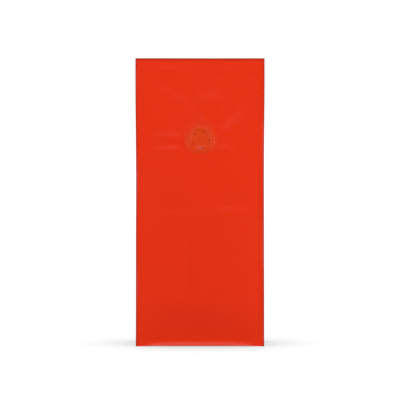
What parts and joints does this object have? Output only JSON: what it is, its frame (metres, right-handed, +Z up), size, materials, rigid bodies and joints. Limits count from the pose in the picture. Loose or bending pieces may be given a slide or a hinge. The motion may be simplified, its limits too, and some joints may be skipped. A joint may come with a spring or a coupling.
{
  "type": "quad seal coffee bag",
  "caption": "Closed, standing coffee bag of film with welded corner fins, folded side gussets, a flat top edge and a round degassing valve in the front.",
  "frame": {"origin": "on the surface the bag stands on, under the middle of its bounding box", "axes": "+Z up, towards the closed mouth; the front panel with the valve faces -Y; +X is to the right of someone facing that panel"},
  "size_m": [0.1016, 0.0643, 0.2255],
  "materials": {
    "film": "satin orange-red printed film",
    "valve_plastic": "satin, in the colour of the film welded over it"
  },
  "bodies": {
    "root": {"bag": "film", "valve": "valve_plastic"}
  },
  "joints": []
}
